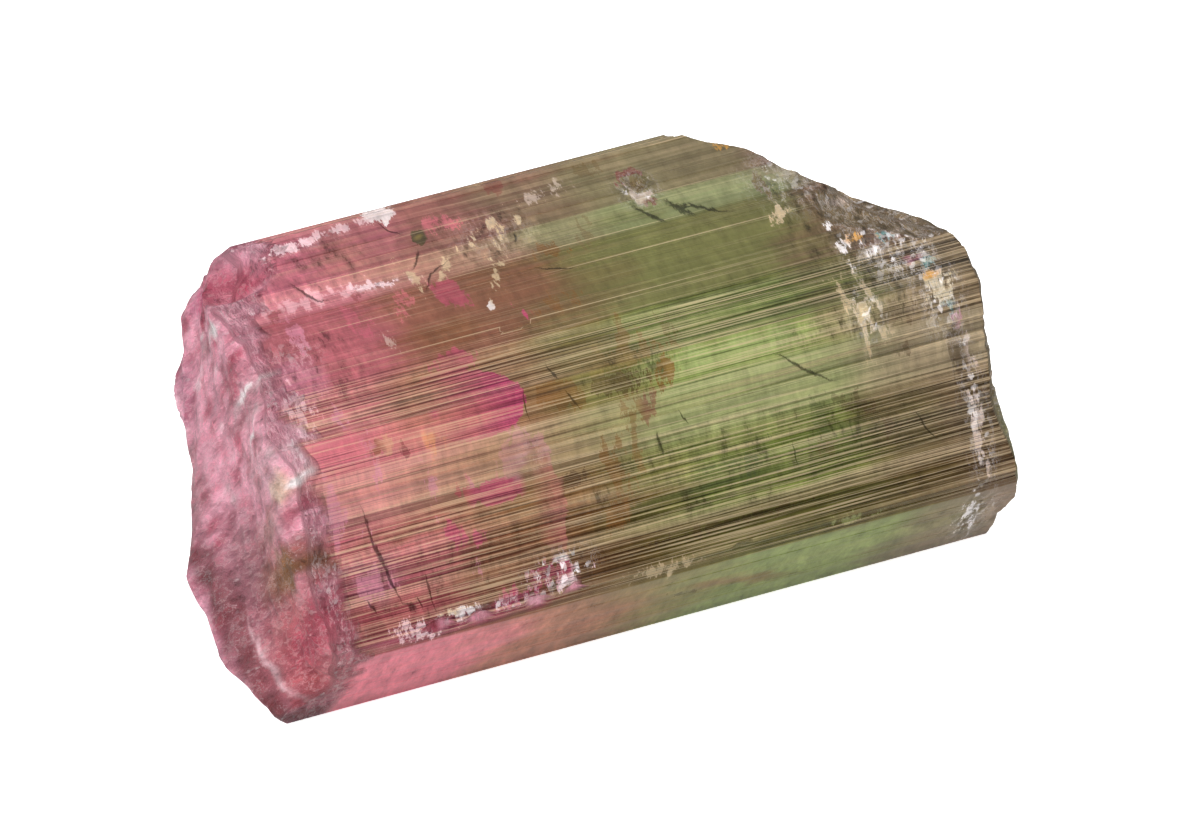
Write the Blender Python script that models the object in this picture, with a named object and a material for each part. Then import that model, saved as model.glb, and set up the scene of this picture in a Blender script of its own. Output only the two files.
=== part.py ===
"""A rough tourmaline: one broken length of a six-sided prism, lying on a prism face.

The crystal's long axis lies along X, its pink end at -X and its green end at +X. +Z is up, and the face that
it lies on is at Z = 0. Lengths inside the shape functions are millimetres and are turned into metres once.

The solid is a UV sphere whose poles lie on the X axis and whose vertices are carried to the crystal's surface:
the latitudes near each pole make a broken end, and those between make the striated prism.
"""

import bmesh
import bpy
import numpy as np

MM = 0.001

# Driving dimensions, in millimetres.
PINK_RIM_X = -17.4  # mean plane of the pink end's fracture
GREEN_RIM_X = 18.8  # mean plane of the green end's fracture
AXIS_Y, AXIS_Z = 0.0, 8.6  # the line through the crystal that its surface is drawn from
STEP_WIDTH = (0.40, 1.30)  # narrowest and widest growth step between two striations
STEP_DEPTH = 0.20  # how deep the steps are cut on a fully striated face
CORE_HALF = 9.0  # half the length of the core line that chips are cut towards
MEAN_RADIUS = 10.5  # mean distance from the axis to the prism's faces
PINK_CRUMBLE = (1.6, 0.7)  # width and depth of the crumbled rim of the pink end
GREEN_CRUMBLE = (0.9, 0.4)  # and of the green end

# The prism's corners as (y, z, depth of striation from here to the next), from the front of the
# base face, up the front of the crystal, over the top and down its back.
CORNERS = (
    (-8.6, 0.0, 0.15),
    (-12.4, 6.8, 0.30),
    (-12.8, 8.0, 1.00),
    (-10.95, 11.6, 1.00),
    (-8.6, 15.1, 0.10),
    (-7.1, 16.9, 1.00),
    (-4.4, 17.5, 0.15),
    (-2.6, 17.6, 0.15),
    (0.5, 17.6, 0.45),
    (7.7, 17.15, 0.70),
    (8.65, 16.6, 0.80),
    (12.4, 9.9, 0.80),
    (12.8, 8.9, 0.80),
    (10.7, 4.4, 0.60),
    (7.9, 0.0, 0.00),
)

# Chips knocked out of the crystal, as (x, y, z, radius) of the ball that each one follows.
CHIPS = (
    (17.4, -2.2, 24.4, 7.5),
    (20.9, -6.6, 18.2, 2.1),
    (21.0, -11.0, 12.2, 1.7),
    (21.4, -9.2, -1.2, 2.5),
    (-16.6, 6.2, 19.3, 3.3),
    (-19.6, -0.6, 19.4, 3.1),
    (-19.9, -8.4, 16.6, 2.2),
    (-18.6, -13.0, 9.6, 1.8),
    (-19.4, -11.2, 2.6, 2.0),
    (-4.6, -13.5, 8.3, 1.05),
    (-6.7, -13.4, 7.7, 0.95),
    (-9.6, -13.3, 7.6, 0.90),
    (-11.9, -13.2, 7.9, 0.85),
    (5.7, 5.0, 18.1, 1.05),
    (4.2, -13.2, 7.9, 0.60),
    (13.6, 9.6, 17.4, 2.4),
    (9.8, 9.9, 17.3, 1.5),
    (-8.0, 13.4, 9.6, 1.6),
    (2.5, 12.6, 4.4, 1.9),
    (-13.5, 9.8, 1.2, 1.7),
)

# The bevel at the back of the green end, and the one over the back of the pink end: a point on each
# plane and the plane's outward normal.
GREEN_BEVEL = ((14.0, 3.4, 10.0), (0.79, 0.58, 0.12))
PINK_BEVEL = ((-17.0, 8.0, 15.6), (-0.55, 0.52, 0.65))

# The square of the section, in Y and in Z, that a fracture's bowls are spread over.
SECTION_Y = (-15.0, 15.1)
SECTION_Z = (-1.0, 19.1)

# The mesh before it is thinned, and the count of triangles that it is thinned to.
AROUND, ALONG = 384, 92
CAP_SHARE = 0.30  # part of the pole-to-pole travel that each broken end takes
TRIANGLES = 9600


def waves(points, seed, size, count=9):
    """Smooth lumps about 'size' across: a sum of sine waves that run in seeded directions, near -1 to 1."""
    rng = np.random.default_rng(seed)
    heading = rng.normal(size=(count, points.shape[-1]))
    heading *= (2 * np.pi / size) * rng.uniform(0.6, 1.5, (count, 1)) / np.linalg.norm(heading, axis=1)[:, None]
    phase = rng.uniform(0, 2 * np.pi, count)
    return np.sin(points @ heading.T + phase).sum(-1) / np.sqrt(count)


def bowls(y, z, seed, spacing, radius, spread):
    """Shell-like fracture: the lowest of many shallow bowls, with a sharp ridge wherever two of them meet.

    The bowls stand about 'spacing' apart over the whole section, each moved off its place, and the section is
    first warped by long waves, so that the bowls come out long, bent and unlike each other. Their floors lie at
    heights from 0 to 'spread', and the highest ridges are rounded off at 'most'.
    """
    rng = np.random.default_rng(seed)
    places = np.mgrid[SECTION_Y[0] : SECTION_Y[1] : spacing, SECTION_Z[0] : SECTION_Z[1] : spacing].reshape(2, -1)
    centre_y, centre_z = places + spacing * rng.uniform(-0.5, 0.5, places.shape)
    floor = rng.uniform(0, spread, len(centre_y))
    curve = radius * rng.uniform(0.6, 2.0, len(centre_y))
    section = np.stack([y, z], -1)
    warped_y = y + 0.4 * spacing * waves(section, seed + 1, 2.5 * spacing, 5)
    warped_z = z + 0.4 * spacing * waves(section, seed + 2, 2.5 * spacing, 5)
    away = (warped_y[..., None] - centre_y) ** 2 + (warped_z[..., None] - centre_z) ** 2
    height = (floor + away / (2 * curve)).min(-1)
    most = 0.6 * spread + 0.08 * spacing**2 / radius
    return most * np.tanh(height / most)


def mound(y, z, centre, width, height):
    """A rounded rise on a broken end: a bell curve of the distance from its centre."""
    away = (y - centre[0]) ** 2 + (z - centre[1]) ** 2
    return height * np.exp(-away / (2 * width**2))


def sloped(y, z, plane):
    """Where a tilted plane lies along X."""
    at, normal = plane
    return at[0] - ((y - at[1]) * normal[1] + (z - at[2]) * normal[2]) / normal[0]


def pink_end(y, z):
    """How far along X the pink end's fracture lies: out along its foot, and in at the top of the back."""
    smooth = mound(y, z, (3.0, 4.0), 5.0, 0.75)
    relief = bowls(y, z, 11, 5.2, 6.5, 0.7) + (1 - smooth) * bowls(y, z, 14, 2.1, 1.6, 0.8)
    rise = mound(y, z, (0.5, -3.0), 4.6, 3.5) + mound(y, z, (-7.5, 0.0), 2.4, 1.5)
    rise += mound(y, z, (-7.0, 12.0), 2.8, 0.6)
    sink = mound(y, z, (10.5, 14.5), 3.8, 1.1)
    plane = np.maximum(PINK_RIM_X - rise + sink, sloped(y, z, PINK_BEVEL))
    return plane + 0.25 - 0.8 * relief


def green_end(y, z):
    """How far along X the green end's fracture lies: out a little at the foot of the front, and far in at the back."""
    relief = bowls(y, z, 21, 5.6, 8.5, 0.5) + bowls(y, z, 24, 2.4, 2.4, 0.6)
    lean = 0.02 * (17.0 - z) + mound(y, z, (-10.5, 3.0), 2.6, 0.9)
    plane = np.minimum(GREEN_RIM_X + lean, sloped(y, z, GREEN_BEVEL))
    return plane - 0.2 + 0.6 * relief


def crumbled(cap, y, z, seed, width, depth):
    """How far the rim of a broken end has crumbled back: a rounded shoulder that is wide here and narrow there."""
    section = np.stack([y, z], -1)
    change = 1 + 0.6 * waves(section, seed, 5.0)
    inside = (1 - cap) * MEAN_RADIUS
    return depth * change * np.clip(1 - inside / (width * np.maximum(change, 0.3)), 0.0, 1.0) ** 2


def outline(turn):
    """A point of the plain prism's outline and its outward normal, for turn from 0 to 1 round the crystal."""
    corners = np.array([corner[:2] for corner in CORNERS + CORNERS[:1]])
    sides = np.diff(corners, axis=0)
    length = np.linalg.norm(sides, axis=1)
    reach = np.concatenate([[0.0], np.cumsum(length)])
    along = (turn % 1.0) * reach[-1]
    side = np.clip(np.searchsorted(reach, along, side="right") - 1, 0, len(sides) - 1)
    part = (along - reach[side]) / length[side]
    point = corners[side] + part[..., None] * sides[side]
    normal = np.stack([-sides[side, 1], sides[side, 0]], -1) / length[side, None]
    return point, normal, along, reach


def striation(along, x, reach):
    """How deep the surface lies under the plain prism: narrow growth steps that run the crystal's length.

    Each step is a flat strip with its own depth and its own slight tilt, and it changes level once somewhere
    along X, over about a millimetre.
    """
    rng = np.random.default_rng(5)
    edges = np.concatenate([[0.0], np.cumsum(rng.uniform(*STEP_WIDTH, 120))])
    edges = edges[: np.searchsorted(edges, reach[-1])]
    edges[-1] = reach[-1]
    count = len(edges) - 1
    depth = rng.uniform(0.0, 1.0, (count, 2))
    tilt = rng.uniform(-0.5, 0.5, count)
    change = rng.uniform(PINK_RIM_X, GREEN_RIM_X, count)
    step = np.clip(np.searchsorted(edges, along, side="right") - 1, 0, count - 1)
    part = (along - edges[step]) / (edges[step + 1] - edges[step])
    shift = 1 / (1 + np.exp(-np.clip((x - change[step]) * 2.5, -30, 30)))
    level = depth[step, 0] * (1 - shift) + depth[step, 1] * shift
    share = np.array([corner[2] for corner in CORNERS + CORNERS[:1]])
    face = np.clip(np.searchsorted(reach, along, side="right") - 1, 0, len(CORNERS) - 1)
    near_corner = np.minimum(along - reach[face], reach[face + 1] - along)
    return STEP_DEPTH * share[face] * (level + tilt[step] * (part - 0.5)) * np.clip(near_corner / 0.12, 0, 1)


def core_of(points):
    """The nearest point to each of the core line that runs through the crystal along X."""
    x = np.clip(points[..., 0], -CORE_HALF, CORE_HALF)
    return np.stack([x, np.full_like(x, AXIS_Y), np.full_like(x, AXIS_Z)], -1)


def chipped(points):
    """Points inside a chip's ball carried towards the core line, as far as the ball's surface."""
    for number, (x, y, z, radius) in enumerate(CHIPS):
        core = core_of(points)
        inward = core - points
        inward /= np.linalg.norm(inward, axis=-1)[..., None]
        offset = points - np.array([x, y, z])
        ripple = radius * (1 + 0.06 * waves(points, 40 + number, radius * 0.9))
        along = (offset * inward).sum(-1)
        inside = along**2 - ((offset**2).sum(-1) - ripple**2)
        hit = (offset**2).sum(-1) < ripple**2
        move = np.where(hit, -along + np.sqrt(np.maximum(inside, 0.0)), 0.0)
        points = points + move[..., None] * inward
    return points


def crystal_surface(turn, travel):
    """The crystal's surface: turn runs from 0 to 1 round it, and travel from 0 at the pink pole to 1 at the green."""
    plain, normal, along, reach = outline(turn)
    cap = np.clip(np.minimum(travel, 1 - travel) / CAP_SHARE, 0.0, 1.0)
    share = np.clip((travel - CAP_SHARE) / (1 - 2 * CAP_SHARE), 0.0, 1.0)
    x = PINK_RIM_X + share * (GREEN_RIM_X - PINK_RIM_X)
    wall = plain - striation(along, x, reach)[..., None] * normal
    axis = np.array([AXIS_Y, AXIS_Z])
    across = axis + cap[..., None] * (wall - axis)
    y, z = across[..., 0], across[..., 1]
    pink = pink_end(y, z) + crumbled(cap, y, z, 51, *PINK_CRUMBLE)
    green = green_end(y, z) - crumbled(cap, y, z, 53, *GREEN_CRUMBLE)
    x = (1 - share) * pink + share * green
    points = chipped(np.stack([x, y, z], -1))
    points[..., 2] = np.maximum(points[..., 2], 0.0)
    return points


def clear_scene():
    for item in list(bpy.data.objects):
        bpy.data.objects.remove(item, do_unlink=True)


def tourmaline_material():
    material = bpy.data.materials.new("pink_green_tourmaline")
    material.use_nodes = True
    shader = material.node_tree.nodes["Principled BSDF"]
    shader.inputs["Base Color"].default_value = (0.48, 0.36, 0.27, 1.0)
    shader.inputs["Roughness"].default_value = 0.12
    shader.inputs["Metallic"].default_value = 0.0
    shader.inputs["IOR"].default_value = 1.63
    shader.inputs["Transmission Weight"].default_value = 0.8
    return material


def make_crystal(collection):
    bm = bmesh.new()
    bmesh.ops.create_uvsphere(bm, u_segments=AROUND, v_segments=ALONG, radius=1.0)
    ball = np.array([vertex.co for vertex in bm.verts])
    turn = np.arctan2(ball[:, 1], ball[:, 0]) / (2 * np.pi) % 1.0
    travel = np.arccos(np.clip(ball[:, 2], -1, 1)) / np.pi
    surface = crystal_surface(turn, travel)
    lowest, highest = surface.min(0), surface.max(0)
    middle = (lowest + highest) / 2 * (1, 1, 0)
    for vertex, place in zip(bm.verts, (surface - middle) * MM):
        vertex.co = place
    bmesh.ops.triangulate(bm, faces=bm.faces)
    mesh = bpy.data.meshes.new("crystal")
    bm.to_mesh(mesh)
    bm.free()
    mesh.materials.append(tourmaline_material())
    crystal = bpy.data.objects.new("crystal", mesh)
    collection.objects.link(crystal)
    thin = crystal.modifiers.new("thin", "DECIMATE")
    thin.ratio = TRIANGLES / len(mesh.polygons)
    return crystal


def main():
    clear_scene()
    collection = bpy.data.collections.new("rough_tourmaline")
    bpy.context.scene.collection.children.link(collection)
    make_crystal(collection)


main()
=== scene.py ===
"""A rough tourmaline, rose at one end and green at the other: its surface, its colours and a small studio.

The crystal is one surface, worked out as whole arrays from two numbers: how far round the prism a point
lies, and how far along from the pink end's pole to the green end's. Shape functions work in millimetres,
and the mesh is scaled to metres once. X runs along the crystal, Z is up, and the crystal lies on the face
at Z = 0.
"""

import bpy
import numpy as np
from bpy.props import FloatProperty, FloatVectorProperty, IntProperty, PointerProperty
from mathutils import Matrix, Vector


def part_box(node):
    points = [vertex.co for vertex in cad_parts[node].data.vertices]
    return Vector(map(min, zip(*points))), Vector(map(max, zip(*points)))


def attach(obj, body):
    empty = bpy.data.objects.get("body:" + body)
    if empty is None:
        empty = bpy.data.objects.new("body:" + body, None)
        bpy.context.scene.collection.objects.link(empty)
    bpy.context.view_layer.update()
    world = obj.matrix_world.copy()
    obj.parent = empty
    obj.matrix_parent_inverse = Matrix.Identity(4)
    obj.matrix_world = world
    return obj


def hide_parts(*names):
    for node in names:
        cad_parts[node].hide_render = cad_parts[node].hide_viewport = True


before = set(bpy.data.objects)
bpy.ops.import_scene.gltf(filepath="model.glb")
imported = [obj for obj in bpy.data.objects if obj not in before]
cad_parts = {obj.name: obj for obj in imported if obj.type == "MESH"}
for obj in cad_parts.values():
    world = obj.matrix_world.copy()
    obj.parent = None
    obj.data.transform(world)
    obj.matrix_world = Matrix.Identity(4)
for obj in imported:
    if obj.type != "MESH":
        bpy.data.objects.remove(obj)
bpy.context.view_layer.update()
NODE_LOW, NODE_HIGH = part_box("crystal")

bl_info = {
    "name": "Rough Tourmaline",
    "version": (1, 0, 0),
    "blender": (4, 5, 0),
    "location": "View3D > Sidebar > Tourmaline",
    "description": "Builds a broken pink and green tourmaline crystal and lights it",
    "category": "Object",
}

MM = 0.001

# The prism's corners in millimetres, as (y, z, depth of striation from here to the next), from the front of
# the base face, up the front of the crystal, over the top and down its back.
CORNERS = (
    (-8.6, 0.0, 0.15),
    (-12.4, 6.8, 0.3),
    (-12.8, 8.0, 1.0),
    (-10.95, 11.6, 1.0),
    (-8.6, 15.1, 0.1),
    (-7.1, 16.9, 1.0),
    (-4.4, 17.5, 0.15),
    (-2.6, 17.6, 0.15),
    (0.5, 17.6, 0.45),
    (7.7, 17.15, 0.7),
    (8.65, 16.6, 0.8),
    (12.4, 9.9, 0.8),
    (12.8, 8.9, 0.8),
    (10.7, 4.4, 0.6),
    (7.9, 0.0, 0.0),
)

# Chips knocked out of the crystal, as (x, y, z, radius) in millimetres of the ball that each one follows.
CHIPS = (
    (17.4, -2.2, 24.4, 7.5),
    (20.9, -6.6, 18.2, 2.1),
    (21.0, -11.0, 12.2, 1.7),
    (21.6, -9.2, -1.4, 2.1),
    (-16.6, 6.2, 19.3, 3.3),
    (-19.6, -0.6, 19.4, 3.1),
    (-19.9, -8.4, 16.6, 2.2),
    (-18.6, -13.0, 9.6, 1.8),
    (-19.4, -11.2, 2.6, 2.0),
    (-4.6, -13.5, 8.3, 1.05),
    (-6.7, -13.4, 7.7, 0.95),
    (-9.6, -13.3, 7.6, 0.9),
    (-11.9, -13.2, 7.9, 0.85),
    (5.7, 5.0, 18.1, 1.05),
    (4.2, -13.2, 7.9, 0.6),
    (13.6, 9.6, 17.4, 2.4),
    (9.8, 9.9, 17.3, 1.5),
    (-8.0, 13.4, 9.6, 1.6),
    (2.5, 12.6, 4.4, 1.9),
    (-13.5, 9.8, 1.2, 1.7),
)

# The bevel at the back of the green end and the one over the back of the pink end: a point on each plane and
# the plane's outward normal.
GREEN_BEVEL = ((14.0, 3.4, 10.0), (0.79, 0.58, 0.12))
PINK_BEVEL = ((-17.0, 8.0, 15.6), (-0.55, 0.52, 0.65))

# Rises and hollows of the broken ends, as (y, z, width, height) in millimetres, and the smooth part of the
# pink end.
PINK_MOUNDS = (
    (0.5, -3.0, 4.6, 3.5),
    (-7.5, 0.0, 2.4, 1.5),
    (-7.0, 12.0, 2.8, 0.6),
    (10.5, 14.5, 3.8, -1.1),
    (11.0, 11.0, 2.6, -0.6),
    (7.9, 0.3, 1.6, -1.5),
    (8.5, 15.6, 1.3, -0.5),
)
PINK_SMOOTH = ((3.0, 4.0, 5.0, 0.75),)
GREEN_MOUNDS = (
    (-10.5, 3.0, 2.6, 0.9),
    (8.2, 17.0, 1.0, -0.6),
    (5.6, 17.2, 1.0, 0.5),
    (0.2, 17.2, 1.1, -0.45),
    (-2.6, 17.0, 1.6, 0.7),
    (-6.2, 16.5, 1.0, 0.4),
)

# The shell-like fracture of the broken ends, as (seed, spacing, radius, spread of heights) of its bowls: the
# large ones, the middling ones and the finest.
PINK_BOWLS = ((11, 5.2, 6.5, 0.7), (14, 2.1, 1.6, 0.8), (61, 0.95, 0.6, 0.22))
GREEN_BOWLS = ((21, 5.6, 8.5, 0.5), (24, 2.4, 2.4, 0.6), (64, 1.1, 0.7, 0.22))

# The crumbled rims of the broken ends, as (seed, width, depth).
PINK_CRUMBLE = (51, 1.6, 0.7)
GREEN_CRUMBLE = (53, 0.9, 0.4)

# More sizes in millimetres. The surface is drawn from an axis, and chips are cut towards its middle part.
AXIS_Y, AXIS_Z = 0.0, 8.6
CORE_HALF = 9.0
MEAN_RADIUS = 10.5
SECTION_Y = (-15.0, 15.1)  # what the ends' fracture covers
SECTION_Z = (-1.0, 19.1)
STEP_WIDTH = (0.4, 1.3)  # the narrowest and the widest growth step
CHANGES = (-17.4, 18.8)  # where along X a strip may change its level
EDGE_GAP = 0.012  # half the width of a line's edge
SHARP_ANGLE = 24  # degrees between faces that look sharp

# The crystal's growth zones: the middle of each zone along X, and its colour.
ZONES = (
    (-13.0, "rose"), (-9.0, "copper"), (-4.5, "hazel"), (-1.0, "olive"), (2.5, "leaf"),
    (9.5, "leaf"), (12.5, "khaki"), (16.0, "stone"),
)

# How the zones show on each group of faces, from a place round the outline on: how far they are shifted
# along X, how bright they are, and the veil over them with its strength. The brightness is painted light and
# shade on each face, and the veil is partly the face's own colour and partly painted reflection.
FACE_TONES = (
    (-1.0, 2.5, 1.0, "pale_pink", 0.08),  # the face under the front
    (7.8, 1.0, 0.62, "umber", 0.5),  # the dark foot of the front
    (11.0, 0.0, 0.95, "umber", 0.15),  # the lower front
    (15.1, 0.0, 1.05, "cream", 0.25),  # the smooth bright band of the front
    (17.8, 0.0, 1.0, "tan", 0.08),  # the upper front
    (22.4, 0.5, 0.75, "mauve", 0.3),  # the sloping top face
    (28.35, 1.5, 1.1, "pale_pink", 0.15),  # the narrow upper bevel
    (30.5, 1.5, 0.85, "lilac", 0.35),  # the top of the back
    (39.0, 1.5, 1.0, "tan", 0.1),  # down the back to the base face
)

# How bright the growth steps are round the outline, as (place, brightness): painted light and shade on each
# band of faces, lightest on the base face.
TONES = (
    (0.0, 1.25), (7.6, 1.25), (8.0, 1.0), (17.6, 1.0), (17.9, 1.02), (19.6, 1.02), (19.9, 0.86),
    (22.2, 0.9), (22.5, 1.0), (33.0, 0.95), (36.0, 1.05),
)

# How strongly the fine lines, painted highlights and painted shadows of the striations, mark the faces round
# the outline, as (place, strength).
LINING = (
    (0.0, 0.12), (7.6, 0.15), (8.2, 1.1), (14.9, 1.3), (15.4, 0.65), (17.6, 0.65), (18.0, 1.1),
    (19.6, 0.8), (20.0, 1.4), (22.4, 1.4), (22.8, 0.5), (24.2, 0.4), (26.2, 0.3), (28.3, 0.45),
    (30.2, 0.4), (30.6, 0.3), (36.0, 0.4),
)

# Where the crumbled shoulder beside the pink end gives way to the faces, as (place round the outline, x).
SHOULDER = (
    (0.0, -16.6), (8.0, -15.6), (9.5, -16.3), (13.0, -16.5), (20.0, -16.7), (24.0, -16.6),
    (27.4, -16.6), (30.0, -15.4), (32.6, -13.7), (36.0, -13.4), (44.0, -15.5), (71.0, -16.6),
)

# Soft patches of colour on the prism's faces: the colour, the middle (x, place round the outline), the half
# lengths along and round, the turn in degrees, how soft the border is and how strong the colour is. Lengths
# are millimetres.
FACE_PATCHES = (
    ("magenta", -11.0, 8.8, 5.0, 0.6, 0, 0.4, 0.5),
    ("deep_rose", -14.0, 10.3, 3.2, 0.8, 0, 0.5, 0.5),
    ("umber", -13.0, 14.2, 2.2, 0.3, 0, 0.4, 0.5),
    ("maroon", 5.2, 3.6, 3.2, 0.5, -24, 0.5, 0.5),
    ("light_green", 5.5, 18.8, 4.2, 0.8, 0, 0.5, 0.45),
    ("tan", 13.5, 18.8, 2.6, 0.8, 0, 0.6, 0.35),
    ("orchid", -16.0, 23.6, 1.4, 1.6, 0, 0.5, 0.6),
    ("umber", -8.0, 24.2, 2.6, 0.9, 0, 0.6, 0.5),
    ("khaki", 4.5, 29.4, 2.4, 0.7, 0, 0.6, 0.5),
    ("hazel", -5.0, 14.1, 3.0, 0.5, 0, 0.4, 0.6),
    ("umber", -3.0, 12.9, 4.0, 0.5, 0, 0.4, 0.6),
    ("orchid", -15.0, 12.2, 1.4, 1.0, 0, 0.5, 0.5),
)

# Patches on the pink end, in the same form but placed by (y, z).
PINK_PATCHES = (
    ("garnet", -9.0, 6.0, 5.0, 4.5, -50, 0.6, 0.8),
    ("puce", -3.0, 5.6, 3.6, 2.4, -20, 0.6, 0.85),
    ("mauve", 6.2, 3.6, 3.2, 1.6, -20, 0.6, 0.6),
    ("puce", -1.0, 14.8, 4.0, 1.2, -52, 0.6, 0.5),
    ("pale_pink", -4.4, 13.2, 3.6, 1.2, -52, 0.6, 0.3),
    ("cream", -7.0, 14.4, 1.6, 0.6, -52, 0.6, 0.6),
    ("magenta", 8.8, 13.4, 2.8, 0.7, -52, 0.5, 0.7),
    ("deep_rose", 6.9, 15.2, 3.2, 0.9, -52, 0.6, 0.8),
    ("maroon", 5.6, 13.0, 1.8, 0.5, -52, 0.7, 0.6),
    ("deep_rose", -10.0, 6.4, 3.4, 1.2, -48, 0.6, 0.8),
    ("deep_rose", -12.4, 10.8, 3.2, 0.7, -52, 0.6, 0.7),
    ("deep_rose", 1.0, 14.6, 2.4, 0.5, -52, 0.6, 0.7),
    ("maroon", -2.0, 12.4, 1.6, 0.3, -52, 0.6, 0.5),
    ("umber", -9.0, 10.8, 3.4, 1.0, -52, 0.6, 0.95),
    ("hazel", -7.2, 8.8, 3.6, 1.1, -52, 0.6, 0.85),
    ("fawn", -5.4, 10.4, 3.4, 0.8, -52, 0.7, 0.6),
    ("umber", -9.4, 16.8, 1.6, 0.7, -40, 0.6, 0.7),
    ("maroon", -2.6, 2.3, 5.4, 1.3, 6, 0.6, 0.85),
    ("maroon", -8.3, 0.9, 1.6, 0.8, 10, 0.5, 0.85),
    ("maroon", 3.2, 1.8, 2.4, 0.6, -38, 0.5, 0.75),
    ("dark_brown", 0.8, 2.0, 1.3, 0.4, -10, 0.7, 0.6),
    ("pale_pink", -7.0, 2.8, 2.8, 0.16, 8, 0.5, 0.6),
    ("lilac", 9.6, 6.8, 1.6, 1.6, 0, 0.6, 0.6),
    # The white patches are painted glints.
    ("white", -8.0, 15.7, 1.0, 0.28, -52, 0.3, 1.0),
    ("white", 3.6, 15.8, 1.3, 0.34, -56, 0.3, 1.0),
    ("white", -3.4, 14.6, 1.3, 0.16, -52, 0.4, 0.9),
    ("white", -1.0, 15.8, 2.2, 0.17, -54, 0.4, 0.9),
    ("white", -10.6, 12.9, 0.7, 0.22, 60, 0.4, 0.9),
    ("white", 8.0, 11.6, 1.4, 0.14, -56, 0.5, 0.8),
    ("pale_pink", 7.4, 9.4, 1.6, 0.16, -60, 0.5, 0.8),
)

# Crushed places on the faces, in the order of the soft patches without the colour. Their flakes carry painted
# glints and painted shade in the material.
CRUSHED = (
    (-5.5, 10.2, 1.9, 1.0, 12, 0.5, 0.75),
    (-9.4, 9.2, 4.4, 0.5, 0, 0.5, 0.6),
    (-12.4, 8.6, 1.2, 0.6, 0, 0.5, 0.7),
    (15.7, 23.0, 2.4, 3.4, 0, 0.5, 0.7),
    (13.0, 18.9, 0.9, 1.6, 0, 0.7, 0.6),
    (16.9, 19.0, 1.2, 2.4, 0, 0.6, 0.7),
    (12.6, 29.0, 2.0, 2.6, 0, 0.6, 0.55),
    (5.4, 31.2, 1.0, 1.5, 0, 0.6, 0.7),
    (-2.6, 30.6, 1.9, 1.6, 0, 0.7, 0.35),
    (-12.0, 33.6, 3.6, 0.5, 8, 0.7, 0.45),
    (-9.6, 29.1, 1.6, 0.5, 0, 0.7, 0.5),
    (-15.4, 25.4, 1.4, 1.2, 0, 0.8, 0.45),
    (-5.6, 16.4, 0.6, 0.8, 0, 0.8, 0.3),
    (17.6, 12.0, 0.7, 6.0, 0, 0.6, 0.55),
    (18.0, 3.8, 1.3, 3.6, 0, 0.6, 0.55),
)

# Places with brush-like marks, in the same form. The rest of the faces has BRUSHED_ELSEWHERE.
BRUSHED = (
    (4.0, 13.2, 11.0, 2.6, 0, 0.4, 0.75),
    (12.0, 18.7, 4.5, 1.0, 0, 0.4, 0.9),
    (0.5, 19.3, 3.0, 1.4, 0, 0.4, 0.9),
    (-11.0, 12.0, 6.5, 3.0, 0, 0.4, 0.6),
    (-13.0, 32.0, 5.0, 3.0, 0, 0.5, 0.7),
    (-3.0, 30.5, 3.5, 2.5, 0, 0.5, 0.8),
    (14.5, 25.0, 4.0, 6.5, 0, 0.5, 0.9),
    (-14.5, 24.5, 3.0, 3.5, 0, 0.5, 0.7),
    (0.0, 3.5, 22.0, 4.5, 0, 0.1, 0.45),
)
BRUSHED_ELSEWHERE = 0.35
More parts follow.
